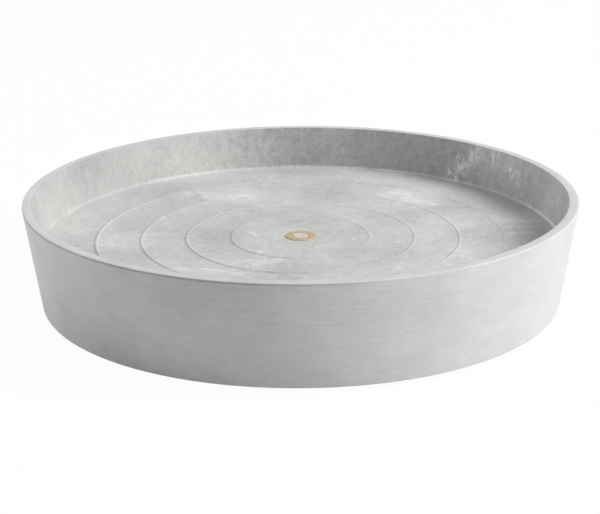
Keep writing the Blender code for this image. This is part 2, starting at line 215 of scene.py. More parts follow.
def addPiece(name, mesh, finish, body, slot, *nodes):
    mesh.materials.clear()
    mesh.materials.append(finish)
    piece = addObject(name, mesh)
    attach(piece, body)
    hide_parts(*nodes)


# geometry trees

def endTree(geometry, source, result):
    tree = geometry.id_data
    real = made(tree, "GeometryNodeRealizeInstances", {"Geometry": geometry})
    done = made(tree, "GeometryNodeSetMaterial", {"Geometry": real, "Material": source["Material"]})
    link(done, result["Geometry"])
    return tree


def endCopies(points, turn, source, result):
    copies = made(points.id_data, "GeometryNodeInstanceOnPoints", {
        "Points": points, "Instance": source["Geometry"], "Rotation": combined(Z=turn)})
    return endTree(copies, source, result)


def makeTurnTree():  # a profile in XZ, turned about Z
    tree, source, result = newGeometry("turnAboutZ", Segments=64, Rows=8)
    count = put(tree, "GeometryNodeAttributeDomainSize", {0: source["Geometry"]}).outputs["Point Count"]
    across = calc("ADD", source["Segments"], 1.0)
    grid = put(tree, "GeometryNodeMeshGrid", {"Vertices X": source["Rows"], "Vertices Y": across}).outputs["Mesh"]
    index = made(tree, "GeometryNodeInputIndex")
    row = calc("FLOOR", calc("DIVIDE", index, across))
    column = calc("SUBTRACT", index, both(row, across))
    place = made(tree, "GeometryNodeInputPosition")
    sample = made(tree, "GeometryNodeSampleIndex", {
        "Geometry": source["Geometry"], "Value": place, "Index": calc("MODULO", row, count)},
        data_type="FLOAT_VECTOR", domain="POINT")
    point = put(tree, "ShaderNodeSeparateXYZ", {0: sample}).outputs
    turn = calc("DIVIDE", both(column, math.tau), source["Segments"])
    x, y = (both(point["X"], calc(wave, turn)) for wave in ("COSINE", "SINE"))
    spot = combined(X=x, Y=y, Z=point["Z"])
    moved = made(tree, "GeometryNodeSetPosition", {"Geometry": grid, "Position": spot})
    closed = made(tree, "GeometryNodeMergeByDistance", {"Geometry": moved, "Distance": weld})
    return endTree(closed, source, result)


def makeRidgeTree():  # lifts the floor's points into evenly spaced round ridges
    tree, source, result = newGeometry(
        "ringRidges", Count=4, First=0.05, Pitch=0.03, Width=0.004, Height=0.001, Floor=0.05)
    point = put(tree, "ShaderNodeSeparateXYZ", {0: made(tree, "GeometryNodeInputPosition")}).outputs
    last = calc("SUBTRACT", source["Count"], 1.0)
    away = offNearestRing(point["X"], source["First"], source["Pitch"], last)
    widths = calc("DIVIDE", both(calc("ABSOLUTE", away), 2.0), source["Width"])
    share = calc("MINIMUM", widths, 1.0)
    wave = calc("MULTIPLY_ADD", calc("COSINE", both(share, math.pi)), 0.5, 0.5)
    onFloor = calc("COMPARE", point["Z"], source["Floor"], 1e-5)
    offset = combined(Z=both(wave, source["Height"], onFloor))
    lifted = made(tree, "GeometryNodeSetPosition", {"Geometry": source["Geometry"], "Offset": offset})
    return endTree(lifted, source, result)


def makeFanTree():  # copies round Z, evenly spaced
    tree, source, result = newGeometry("fanAboutZ", Count=8, Start=0.0)
    points = made(tree, "GeometryNodePoints", {"Count": source["Count"]})
    index = made(tree, "GeometryNodeInputIndex")
    step = calc("DIVIDE", math.tau, source["Count"])
    turn = calc("MULTIPLY_ADD", index, step, source["Start"])
    return endCopies(points, turn, source, result)


def makeCornerTree():  # copies at the corners of a square, each turned its own way
    tree, source, result = newGeometry("squareOfFour", Spacing=0.03, Seed=1)
    grid = put(tree, "GeometryNodeMeshGrid", {
        "Size X": source["Spacing"], "Size Y": source["Spacing"], "Vertices X": 2, "Vertices Y": 2}).outputs["Mesh"]
    feeds = {2: 0.0, 3: math.tau, "Seed": source["Seed"]}  # the lowest and highest of a plain number
    spin = put(tree, "FunctionNodeRandomValue", feeds, data_type="FLOAT").outputs[1]
    return endCopies(grid, spin, source, result)


turnTree = makeTurnTree()
ridgeTree = makeRidgeTree()
fanTree = makeFanTree()
cornerTree = makeCornerTree()


def useTree(obj, tree, **values):
    modifier = obj.modifiers.new(tree.name, "NODES")
    modifier.node_group = tree
    for item in tree.interface.items_tree:
        if item.in_out == "INPUT" and item.name in values:
            modifier[item.identifier] = values[item.name]


def turned(name, profile, segments, material, closed=True, ridges=None):
    mesh = bpy.data.meshes.new(name)
    edges = [(i, i + 1) for i in range(len(profile) - 1)]
    mesh.from_pydata([(r, 0, z) for r, z in profile], edges, [])
    obj = addObject(name, mesh)
    if ridges:
        useTree(obj, ridgeTree, **ridges)
    useTree(obj, turnTree, Segments=segments, Rows=len(profile) + closed, Material=material)
    return bakeMesh(obj)


def copied(mesh, tree, **values):
    obj = addObject(mesh.name, mesh)
    useTree(obj, tree, **values)
    return bakeMesh(obj)


# shared surface effects

def makeNoiseGroup():  # soft patches or streaks, by the stretch of the vector that comes in
    inputs = {"Vector": "Vector", "Scale": 40.0, "Detail": 4.0, "Warp": 0.0, "Low": 0.4, "High": 0.6}
    tree, source, result = newGroup("patchMask", "ShaderNodeTree", inputs, {"Mask": "Float", "Raw": "Float"})
    noise = made(tree, "ShaderNodeTexNoise", {
        "Vector": source["Vector"], "Scale": source["Scale"], "Detail": source["Detail"],
        "Roughness": 0.6, "Distortion": source["Warp"]})
    link(ramp(noise, source["Low"], source["High"]), result["Mask"])
    link(noise, result["Raw"])
    return tree


def makeRingGroup():  # radius, height and direction about the upright axis
    outputs = {"Radius": "Float", "Height": "Float", "Across": "Vector"}
    tree, source, result = newGroup("aboutAxis", "ShaderNodeTree", {"Vector": "Vector"}, outputs)
    part = put(tree, "ShaderNodeSeparateXYZ", {0: source["Vector"]}).outputs
    flat = combined(X=part["X"], Y=part["Y"])
    link(vector("LENGTH", flat, output="Value"), result["Radius"])
    link(part["Z"], result["Height"])
    link(vector("NORMALIZE", flat), result["Across"])
    return tree


def makeStrokeGroup():  # a soft-edged line from one place to another
    inputs = {"Vector": "Vector", "Start": "Vector", "End": "Vector", "Width": 0.002}
    tree, source, result = newGroup("strokeMask", "ShaderNodeTree", inputs, {"Mask": "Float"})
    along = vector("SUBTRACT", source["End"], source["Start"])
    offset = vector("SUBTRACT", source["Vector"], source["Start"])
    reach, length = (vector("DOT_PRODUCT", side, along, "Value") for side in (offset, along))
    share = clamped(calc("DIVIDE", reach, length), 0.0, 1.0)
    away = vector("DISTANCE", offset, vector("SCALE", along, share), "Value")
    link(ramp(calc("DIVIDE", away, source["Width"]), 0.1, 1.0, 1.0, 0.0), result["Mask"])
    return tree


patchMask = makeNoiseGroup()
strokeMask = makeStrokeGroup()
aboutAxis = makeRingGroup()


def newMaterial(name, roughness, metallic=0.0):
    material = bpy.data.materials.new(name)
    material.use_nodes = True
    tree = material.node_tree
    shader = tree.nodes["Principled BSDF"].inputs
    shader["Roughness"].default_value = roughness
    shader["Metallic"].default_value = metallic
    return material, put(tree, "ShaderNodeTexCoord").outputs["Object"], shader


def patches(vector, scale, detail, low, high, warp=0.0, output="Mask"):
    return grouped(patchMask, Vector=vector, Scale=scale, Detail=detail, Warp=warp, Low=low, High=high)[output]


def mixColour(factor, first, second):
    colours = ((*value, 1.0) if isinstance(value, tuple) else value for value in (first, second))
    return put(factor.id_data, "ShaderNodeMix", dict(zip((0, 6, 7), (factor, *colours))), data_type="RGBA").outputs[2]


def bump(height, strength, distance):
    feeds = {"Height": height, "Strength": strength, "Distance": distance}
    return made(height.id_data, "ShaderNodeBump", feeds)


# camera and light

viewpoint = {
    "lens": 105.422, "sensor": 36, "eye": (0.0, -1.3769, 0.4903), "pitch": 18.374, "yaw": -0.0321, "roll": -0.447,
}


def addCamera(size):
    pitch, yaw, roll = (math.radians(angle) for angle in take(size, "pitch yaw roll"))
    data = bpy.data.cameras.new("camera")
    data.lens = size["lens"]
    data.sensor_width = size["sensor"]
    data.sensor_fit = "HORIZONTAL"
    scene.camera = addObject("camera", data)
    aim = Matrix.Rotation(-yaw, 4, "Z") @ Matrix.Rotation(math.pi / 2 - pitch, 4, "X")
    place = Matrix.Translation(size["eye"]) @ aim @ Matrix.Rotation(roll, 4, "Z")
    scene.camera.matrix_world = place


studio = {
    "ambient": 0.27, "floorGrey": 0.8, "floorShow": 0.965, "floorSize": 12, "aimHeight": 0.05,
    "panels": {
        "keyPanel": {"azimuth": -10, "elevation": 34, "distance": 5.0, "size": 1.6, "power": 170.0},
        "highPanel": {"azimuth": -20, "elevation": 44, "distance": 5.0, "size": 1.6, "power": 117.0},
        "fillPanel": {"azimuth": 160, "elevation": 12, "distance": 5.0, "size": 3.0, "power": 132.0},
    },
}


def addPanel(name, azimuth, elevation, distance, size, power):
    data = bpy.data.lights.new(name, "AREA")
    data.shape = "SQUARE"
    data.size = size
    data.energy = power
    turn, rise = math.radians(azimuth), math.radians(elevation)
    out = Vector((math.cos(turn) * math.cos(rise), math.sin(turn) * math.cos(rise), math.sin(rise)))
    panel = addObject(name, data)
    panel.location = out * distance + Vector((0, 0, studio["aimHeight"]))
    panel.rotation_euler = out.to_track_quat("Z", "Y").to_euler()


def seenRay(tree):  # rays that show the background: straight to the camera, or by a mirror or glass
    rays = put(tree, "ShaderNodeLightPath").outputs
    mirrored = calc("MAXIMUM", rays["Is Glossy Ray"], rays["Is Transmission Ray"])
    return calc("MAXIMUM", rays["Is Camera Ray"], mirrored)


def addStudio(light):
    world = bpy.data.worlds.new("studio")
    scene.world = world
    world.use_nodes = True
    tree = world.node_tree
    back = tree.nodes["Background"]
    back.inputs["Color"].default_value = (1, 1, 1, 1)
    link(ramp(seenRay(tree), 0, 1, light["ambient"], 1.0), back.inputs["Strength"])
    for name, place in light["panels"].items():
        addPanel(name, **place)
    bpy.ops.mesh.primitive_plane_add(size=light["floorSize"])
    floor = bpy.context.object
    floor.name = "studioFloor"
    material = bpy.data.materials.new("whiteFloor")
    material.use_nodes = True
    tree = material.node_tree
    tree.nodes.clear()
    plain = made(tree, "ShaderNodeBsdfDiffuse", {"Color": (*[light["floorGrey"]] * 3, 1)})
    white = made(tree, "ShaderNodeEmission", {"Color": (1, 1, 1, 1), "Strength": 1.0})
    share = both(seenRay(tree), light["floorShow"])
    mixed = made(tree, "ShaderNodeMixShader", {0: share, 1: plain, 2: white})
    put(tree, "ShaderNodeOutputMaterial", {"Surface": mixed})
    floor.data.materials.append(material)


addCamera(viewpoint)
addStudio(studio)
print("camera and studio set")


# finishes

stone = {
    # one stone in every zone; the inner wall's darker grey is painted shade
    "outer": (0.57, 0.57, 0.558), "floor": (0.531, 0.531, 0.52), "shadedInnerWall": (0.45, 0.45, 0.44),
    "scuff": (0.82, 0.82, 0.81), "roughness": 0.66, "roughSwing": 0.2, "gloss": 0.3,
    "relief": (0.12, 0.0004), "scuffRise": 0.8, "wallRadius": 0.215,
    # how far each pattern lightens and darkens the grey, and its share where it is weaker
    "cloud": 0.45, "mottle": 0.48, "blotch": 0.55, "fine": 0.44, "streak": 0.28, "runs": 0.3, "turning": 0.1,
    "cloudOutside": 0.8, "fineOutside": 0.45, "mottleOffFloor": 0.15,
    # how much each mark, and each painted light and shade, changes the grey
    "footDirt": -0.1, "dash": -0.08, "ridgeDirt": -0.01, "ridgeShade": -0.18, "ridgeRub": 0.05, "ridgeCounterShade": 0.05,
    "edgeLine": -0.32, "filletDirt": -0.06, "pale": 0.14, "worn": -0.12, "leftShade": 0.08, "frontShade": -0.04,
    # how much of the scuff colour each mark shows
    "haze": 0.24, "wisp": 0.85, "stroke": 0.55, "scratch": 0.4, "mark": 0.9, "filletLine": 0.3, "rimWear": 0.04,
    "looseShare": 0.5, "looseOnWall": 0.3,
    # scale, detail and warp of each plain noise
    "noises": {"cloud": (15.0, 6.0, 0.6), "mottle": (170.0, 5.0, 0.6), "fine": (640.0, 3.0, 0.0),
               "level": (48.0, 5.0, 0.0), "runs": (190.0, 5.0, 0.6), "turning": (420.0, 3.0, 0.0),
               "grain": (900.0, 3.0, 0.0)},
    # scale, detail, low, high and warp of each patchy mask
    "patches": {"loose": (23.0, 3.0, 0.5, 0.68), "smear": (70.0, 7.0, 0.42, 0.66, 1.2),
                "stroke": (180.0, 6.0, 0.55, 0.66, 0.8), "drip": (60.0, 5.0, 0.36, 0.54, 0.8),
                "wallHaze": (110.0, 6.0, 0.38, 0.62, 0.8), "scratch": (52.0, 2.0, 0.5, 0.6)},
    # scale, detail, warp and width of the thin wandering lines
    "veins": {"crackle": (62.0, 8.0, 1.5, 0.028), "drip": (80.0, 8.0, 1.4, 0.05), "scratch": (30.0, 3.0, 1.2, 0.008)},
    "drawn": {"level": (1, 1, 13), "smear": (0.6, 1, 1), "crackle": (0.5, 1, 1), "stroke": (0.3, 1, 1)},  # per axis
    "rise": {"runs": 0.3, "vein": 0.5, "drip": 0.45, "wallHaze": 0.5},  # less than 1 draws a pattern out upright
    "shake": (130.0, 4.0, 0.008),  # scale, detail and reach of the waver in the rubbed strokes
    # soft edges of the zones, from the height or depth that each belongs to
    "edges": {"lip": (-0.0015, -0.0005), "lipInside": (-0.0008, -0.0003), "skin": (0.001, 0.0024),
              "wallSide": (0.0008, 0.0022), "footDirt": (0.006, 0.045), "ridge": (0.0012, 0.0034),
              "crest": (0.0004, 0.0018), "ridgeSide": (0.0002, 0.0014), "fillet": (0.0001, 0.0008),
              "filletTop": (0.0012, 0.0034), "filletInside": (0.003, 0.005), "line": (-0.0022, -0.0012),
              "lineTop": (-0.0006, -0.0001), "lineInside": (0.0006, 0.0016)},
    "ridgeFlank": 0.0012, "floorSkin": 0.001, "dashes": (0.64, 0.74),
    # marks and painted light and shade that lie on one side of the round: direction, nearness to it from and to, and
    # what these give
    "facing": {"blotch": (65, 0.2, 0.8, 0.15, 1.2), "streakFront": (268, 0.3, 0.95, 0.35, 1.15),
               "streakBack": (90, 0.0, 0.35), "footDirt": (236, 0.6, 0.97), "ridgeSide": (215, -1, 1, -1, 1),
               "ridgeDirt": (224, 0.55, 0.95, 0.12, 1.0), "ridgeRub": (75, -0.2, 0.7), "wornRight": (335, 0.55, 0.9),
               "wornLeft": (145, 0.55, 0.9), "filletDirt": (175, 0.7, 0.97), "edgeLine": (228, 0.45, 0.85),
               "filletLine": (15, -0.8, 0.6, 0.4, 2.0), "leftShade": (188, 0.8, 0.98), "frontShade": (270, 0.94, 1)},
    # how far other patterns break up the rubbed marks: from, to, and what these give
    "brokenByStroke": (0, 1, 0.6, 1.0), "brokenByMottle": (0.35, 0.55, 0.35, 1.0),
    "brokenByCloud": (0.35, 0.65, 0.4, 1.2),
    # soft places: x, y, the height if it isn't the floor's, and reach; the core is the share at full strength
    "placeCore": 0.2,
    "palePlaces": ((-0.18, 0.034, 0.055), (-0.15, 0.085, 0.055), (-0.148, -0.004, 0.04), (0.098, 0.108, 0.045),
                   (0.118, 0.14, 0.035), (0.182, 0.045, 0.03), (-0.06, 0.125, 0.04), (-0.093, 0.195, 0.073, 0.05)),
    "wornPlaces": ((0.0, 0.06, 0.05), (0.06, -0.05, 0.05), (0.15, 0.01, 0.04), (0.02, 0.12, 0.045),
                   (-0.065, 0.0, 0.04), (0.0, 0.214, 0.073, 0.05), (0.202, 0.075, 0.07, 0.035),
                   (0.214, 0.01, 0.07, 0.045), (-0.186, 0.105, 0.076, 0.055), (0.14, 0.163, 0.072, 0.045),
                   (0.0, -0.085, 0.05), (0.128, 0.083, 0.035)),
    "floorScuffs": ((-0.085, 0.122, 0.04), (-0.05, 0.118, 0.03), (0.089, 0.121, 0.036), (0.098, 0.1, 0.03),
                    (-0.03, -0.054, 0.036), (-0.07, -0.086, 0.036), (-0.15, -0.008, 0.036), (0.131, -0.06, 0.036),
                    (0.182, 0.036, 0.024)),
    "wallScuffs": ((0.138, 0.161, 0.056, 0.014), (0.146, 0.157, 0.067, 0.014), (0.154, 0.149, 0.076, 0.014),
                   (0.162, 0.143, 0.082, 0.014), (0.174, 0.127, 0.081, 0.014), (0.182, 0.114, 0.075, 0.014),
                   (0.188, 0.103, 0.07, 0.012)),
    # rubbed strokes on the floor: from x, y to x, y, width and strength
    "floorMarks": ((-0.035, 0.178, 0.03, 0.178, 0.016, 0.25), (0.03, 0.178, 0.092, 0.156, 0.014, 0.25),
                   (-0.012, 0.096, 0.033, 0.092, 0.0016, 0.8), (-0.075, 0.093, -0.065, 0.061, 0.0014, 0.5),
                   (-0.043, 0.013, -0.036, 0.003, 0.0028, 1.0), (0.012, -0.03, 0.044, -0.007, 0.0034, 0.6),
                   (0.008, -0.04, 0.032, -0.024, 0.0028, 0.6), (0.079, -0.015, 0.084, -0.026, 0.0016, 0.8),
                   (0.172, 0.036, 0.19, 0.038, 0.006, 0.5), (0.174, 0.02, 0.196, 0.02, 0.007, 0.5),
                   (0.172, 0.004, 0.19, 0.006, 0.006, 0.45), (-0.126, 0.008, -0.098, 0.012, 0.005, 0.3),
                   (-0.078, -0.08, -0.046, -0.094, 0.0034, 0.7), (-0.05, -0.062, -0.014, -0.06, 0.0026, 0.8),
                   (-0.036, -0.072, -0.016, -0.066, 0.0024, 0.8), (0.08, 0.128, 0.096, 0.118, 0.006, 0.8),
                   (0.092, 0.11, 0.116, 0.09, 0.009, 0.7), (-0.092, 0.13, -0.076, 0.112, 0.007, 0.4),
                   (-0.062, 0.124, -0.038, 0.116, 0.005, 0.5), (0.124, -0.052, 0.142, -0.066, 0.006, 0.35)),
}


def strokes(point, marks, height, shake):
    scale, detail, reach = shake
    feeds = {"Vector": point, "Scale": scale, "Detail": detail}
    waver = put(point.id_data, "ShaderNodeTexNoise", feeds).outputs["Color"]
    waver = vector("SCALE", vector("SUBTRACT", waver, (0.5, 0.5, 0.5)), reach)
    shaken = vector("ADD", point, waver)
    mask = 0.0
    for x, y, toX, toY, width, strength in marks:
        line = grouped(strokeMask, Vector=shaken, Start=(x, y, height), End=(toX, toY, height), Width=width)["Mask"]
        mask = calc("MAXIMUM", both(line, strength), mask)
    return mask


def noise(vector, scale, detail, warp):
    return patches(vector, scale, detail, 0.0, 1.0, warp, "Raw")


def veins(vector, scale, detail, warp, width):  # thin wandering lines
    away = calc("SUBTRACT", noise(vector, scale, detail, warp), 0.5)
    return ramp(calc("ABSOLUTE", away), 0.0, width, 1.0, 0.0)


def tinted(colour, mask, amount, target):
    return mixColour(both(mask, amount), colour, target)


def towards(ring, azimuth, *span):  # how far each place on the round faces one way
    turn = math.radians(azimuth)
    side = vector("DOT_PRODUCT", ring["Across"], (math.cos(turn), math.sin(turn), 0), "Value")
    return ramp(side, *span)


def wallPoint(ring, rise):  # along the wall and up it
    around = vector("SCALE", ring["Across"], stone["wallRadius"])
    upward = combined(Z=both(ring["Height"], rise))
    return vector("ADD", around, upward)


def makeStone(finish, saucer):
    material, point, shader = newMaterial("stoneComposite", finish["roughness"])
    shader["Specular IOR Level"].default_value = finish["gloss"]
    ring = grouped(aboutAxis, Vector=point)
    facing = {key: towards(ring, *side) for key, side in finish["facing"].items()}
    drawn = {key: made(point.id_data, "ShaderNodeMapping", {"Vector": point, "Scale": scale})
             for key, scale in finish["drawn"].items()}
    onWall = {key: wallPoint(ring, rise) for key, rise in finish["rise"].items()}

    def rising(value, key, base=0.0, *span):
        low, high = finish["edges"][key]
        return ramp(value, base + low, base + high, *span)

    def falling(value, key, base=0.0):
        return rising(value, key, base, 1.0, 0.0)

    def plain(key, place=point):
        return noise(place, *finish["noises"][key])

    def patchy(key, place=point):
        return patches(place, *finish["patches"][key])

    def lines(key, place=point):
        return veins(place, *finish["veins"][key])

    def near(key):  # one soft mask round all the places of a kind
        mask = 0.0
        for x, y, *up, reach in finish[key]:
            away = vector("DISTANCE", point, (x, y, *(up or [floor])), "Value")
            mask = calc("MAXIMUM", ramp(away, reach * finish["placeCore"], reach, 1.0, 0.0), mask)
        return mask

    height, rim, floor, wall = ring["Height"], saucer["rim"], saucer["floor"], saucer["wall"]
    outerRadius = calc("MULTIPLY_ADD", height, wallLean, saucer["footRadius"] - wallLean * saucer["foot"])
    depth = calc("SUBTRACT", outerRadius, ring["Radius"])  # how far in from the outer face
    lip = both(rising(height, "lip", rim), falling(depth, "lipInside", wall))
    outside = calc("MAXIMUM", falling(depth, "skin"), lip)
    inside = calc("SUBTRACT", 1.0, outside)
    above = ramp(height, saucer["underside"], floor - finish["floorSkin"])
    wallSide = both(falling(depth, "wallSide", wall), above)
    inWall = both(wallSide, inside)
    onFloor = both(calc("SUBTRACT", 1.0, wallSide), inside)  # with the underside
    onTop = both(onFloor, above)
    fillet = both(rising(height, "fillet", floor), falling(height, "filletTop", floor),
                  falling(depth, "filletInside", wall), inside)  # where the floor meets the wall
    underEdge = both(rising(height, "line", rim), falling(height, "lineTop", rim),
                     falling(depth, "lineInside"))  # a thin line of painted shade below the rim's outer edge, on the side away from the light
    # the inner wall takes the darker grey, painted shade
    colour = mixColour(inWall, mixColour(onFloor, finish["outer"], finish["floor"]), finish["shadedInnerWall"])

    cloud, mottle, level = plain("cloud"), plain("mottle"), plain("level", drawn["level"])
    turns = combined(X=ring["Radius"])
    streaked = calc("MAXIMUM", facing["streakFront"], facing["streakBack"])
    tone = 1.0
    for raw, key, zone in (
            (cloud, "cloud", ramp(outside, 0, 1, 1.0, finish["cloudOutside"])),
            (mottle, "mottle", ramp(onFloor, 0, 1, finish["mottleOffFloor"], 1.0)),
            (mottle, "blotch", both(inWall, facing["blotch"])),
            (plain("turning", turns), "turning", onTop),  # faint rings left by turning the mould
            (plain("fine"), "fine", ramp(inside, 0, 1, finish["fineOutside"], 1.0)),
            (level, "streak", both(outside, streaked)),  # level streaks outside
            (plain("runs", onWall["runs"]), "runs", inWall)):  # soft runs down the inner wall
        tone = calc("MULTIPLY_ADD", calc("SUBTRACT", raw, 0.5), both(zone, finish[key]), tone)

    offRidge = offNearestRing(ring["Radius"], saucer["ridgeFirst"], saucer["ridgePitch"], saucer["ridgeCount"] - 1.0)
    awayFromRidge = calc("ABSOLUTE", offRidge)
    nearRidge = both(falling(awayFromRidge, "ridge"), onTop)
    farSide = both(offRidge, facing["ridgeSide"])  # painted shade on the side of each ridge away from the light
    shadedSide = both(rising(farSide, "ridgeSide"), facing["ridgeDirt"])
    crest = both(falling(awayFromRidge, "crest"), onTop, facing["ridgeRub"])  # painted highlight on the ridge crests towards the back
    flank = ramp(offRidge, -finish["ridgeFlank"], finish["ridgeFlank"], 1.0, -1.0)
    blurred = calc("SUBTRACT", facing["wornRight"], facing["wornLeft"])  # painted light and shade on the ridge flanks, against their own lit and shaded sides, so the ridges show less there
    for mask, key in (
            # painted shade: the outer wall darker towards its foot, on the side away from the light
            (both(falling(height, "footDirt"), outside, facing["footDirt"]), "footDirt"),
            (both(ramp(level, *finish["dashes"]), outside), "dash"),
            # beside the ridges dirt and painted shade, with more painted shade on the side away from the light;
            # painted highlight on the crests at the back
            (nearRidge, "ridgeDirt"), (both(nearRidge, shadedSide), "ridgeShade"), (crest, "ridgeRub"),
            # painted light and shade evening out the ridge flanks; painted shade on the fillet where it faces the
            # light on the left
            (both(nearRidge, flank, blurred), "ridgeCounterShade"), (both(fillet, facing["filletDirt"]), "filletDirt"),
            (both(near("palePlaces"), inside), "pale"),
            (both(near("wornPlaces"), inside), "worn"),
            (both(underEdge, facing["edgeLine"]), "edgeLine"),
            # painted light on the outer wall at the far left; painted shade on its front
            (both(outside, facing["leftShade"]), "leftShade"), (both(outside, facing["frontShade"]), "frontShade")):
        tone = calc("MULTIPLY_ADD", mask, finish[key], tone)
    colour = vector("SCALE", colour, tone)

    loose = both(patchy("loose"), finish["looseShare"])
    dishScuffs = calc("MAXIMUM", near("floorScuffs"), loose)
    wallLoose = both(loose, finish["looseOnWall"])
    wallScuffs = calc("MAXIMUM", near("wallScuffs"), wallLoose)
    smear, stroke = patchy("smear", drawn["smear"]), patchy("stroke", drawn["stroke"])
    haze = both(smear, dishScuffs, onTop)
    wallHaze = both(patchy("wallHaze", onWall["wallHaze"]), wallScuffs, inWall)
    crackle = both(lines("crackle", drawn["crackle"]), smear, dishScuffs, onTop)
    drip = both(lines("drip", onWall["vein"]), patchy("drip", onWall["drip"]), wallScuffs, inWall)
    wisp = calc("ADD", crackle, drip)
    rubs = both(strokes(point, finish["floorMarks"], floor, finish["shake"]),
                ramp(stroke, *finish["brokenByStroke"]), ramp(mottle, *finish["brokenByMottle"]), onTop)
    # a pale line along the fillet, partly painted highlight, stronger on the right
    paleFilletLine = both(fillet, facing["filletLine"], ramp(cloud, *finish["brokenByCloud"]))
    for mask, key in (
            (calc("ADD", haze, wallHaze), "haze"), (both(haze, stroke), "stroke"), (wisp, "wisp"),
            (both(lines("scratch"), patchy("scratch"), onTop), "scratch"), (rubs, "mark"),
            (paleFilletLine, "filletLine"), (lip, "rimWear")):
        colour = tinted(colour, mask, finish[key], finish["scuff"])
    link(colour, shader["Base Color"])

    evenly = finish["roughness"] - finish["roughSwing"] / 2
    link(calc("MULTIPLY_ADD", mottle, finish["roughSwing"], evenly), shader["Roughness"])
    raised = both(calc("ADD", wisp, rubs), finish["scuffRise"])
    link(bump(calc("ADD", plain("grain"), raised), *finish["relief"]), shader["Normal"])
    return material


# each has a worn or dusty colour in patches over its plain one, and a fine grain
# patch and grain: scale, detail, low, high and warp; relief: strength and depth of the grain
tanRubber = {
    "plain": (0.44, 0.33, 0.205), "worn": (0.52, 0.43, 0.31), "wornShare": 0.7, "roughness": 0.6, "rougher": 0.15,
    "patch": (300.0, 4.0, 0.4, 0.7), "grain": (1500.0, 2.0, 0.3, 0.7), "relief": (0.15, 0.0002),
    "faded": ((0.0116, 0.013), (0.0086, 0.007)),  # radii, each from plain to worn
}
paleRubber = {**tanRubber, "plain": (0.57, 0.52, 0.47), "worn": (0.65, 0.6, 0.55), "faded": ()}
zinc = {
    "plain": (0.7, 0.71, 0.72), "worn": (0.45, 0.46, 0.48), "wornShare": 0.5, "roughness": 0.32, "rougher": 0.22,
    "patch": (240.0, 5.0, 0.45, 0.72), "grain": (1800.0, 2.0, 0.3, 0.7), "relief": (0.08, 0.0002),
    "metallic": 1.0, "tint": (0.66, 0.62, 0.5), "tintShare": 0.35, "tintPatch": (60.0, 3.0, 0.42, 0.7, 0.8),
}
nylon = {
    "plain": (0.025, 0.025, 0.027), "worn": (0.1, 0.1, 0.098), "wornShare": 0.5, "roughness": 0.45, "rougher": 0.2,
    "patch": (180.0, 5.0, 0.45, 0.75, 0.5), "grain": (2200.0, 2.0, 0.3, 0.7), "relief": (0.2, 0.0002),
}
tread = {**nylon, "plain": (0.075, 0.075, 0.078), "worn": (0.22, 0.215, 0.205), "wornShare": 0.6, "roughness": 0.78}


def makeFinish(name, finish):
    material, point, shader = newMaterial(name, finish["roughness"], finish.get("metallic", 0.0))
    colour = finish["plain"]
    if "tint" in finish:
        colour = tinted(colour, patches(point, *finish["tintPatch"]), finish["tintShare"], finish["tint"])
    worn = patches(point, *finish["patch"])
    for start, end in finish.get("faded", ()):
        worn = calc("MAXIMUM", worn, ramp(grouped(aboutAxis, Vector=point)["Radius"], start, end))
    link(tinted(colour, worn, finish["wornShare"], finish["worn"]), shader["Base Color"])
    rough = calc("MULTIPLY_ADD", worn, finish["rougher"], finish["roughness"])
    link(rough, shader["Roughness"])
    grain = patches(point, *finish["grain"])
    link(bump(grain, *finish["relief"]), shader["Normal"])
    return material


# moulded dish, skirt and floor

saucer = {
    "rimRadius": 0.225, "footRadius": 0.2125, "foot": 0.004, "rim": 0.088, "floor": 0.051, "underside": 0.044,
    "wall": 0.008, "segments": 240, "rimOuterRound": 0.001, "rimInnerRound": 0.0004, "footRounding": 0.0015,
    "setIn": 1.08, "footSetIn": 0.93,  # how far in a rounding starts, in its own radius, as the wall leans
    "floorFillet": 0.0025, "underFillet": 0.004, "bossRadius": 0.022, "bossFace": 0.036, "bossFillet": 0.003,
    "bossEdge": 0.001, "drainRadius": 0.0095, "drainEdge": 0.0006,
    "ridgeCount": 4, "ridgeFirst": 0.0567, "ridgePitch": 0.0369, "ridgeWidth": 0.0046, "ridgeHeight": 0.0006,
    "ridgeSteps": 12, "ribCount": 8, "ribThickness": 0.004, "ribDepth": 0.008, "ribEdge": 0.0006,
    "padFace": 0.041, "padSize": 0.05, "padCorner": 0.008, "overlap": 0.002,  # of what is joined or cut
    "pilotRadius": 0.002, "pilotTop": 0.0495, "pocketRadius": 0.0055, "pocketTop": 0.0426,
}
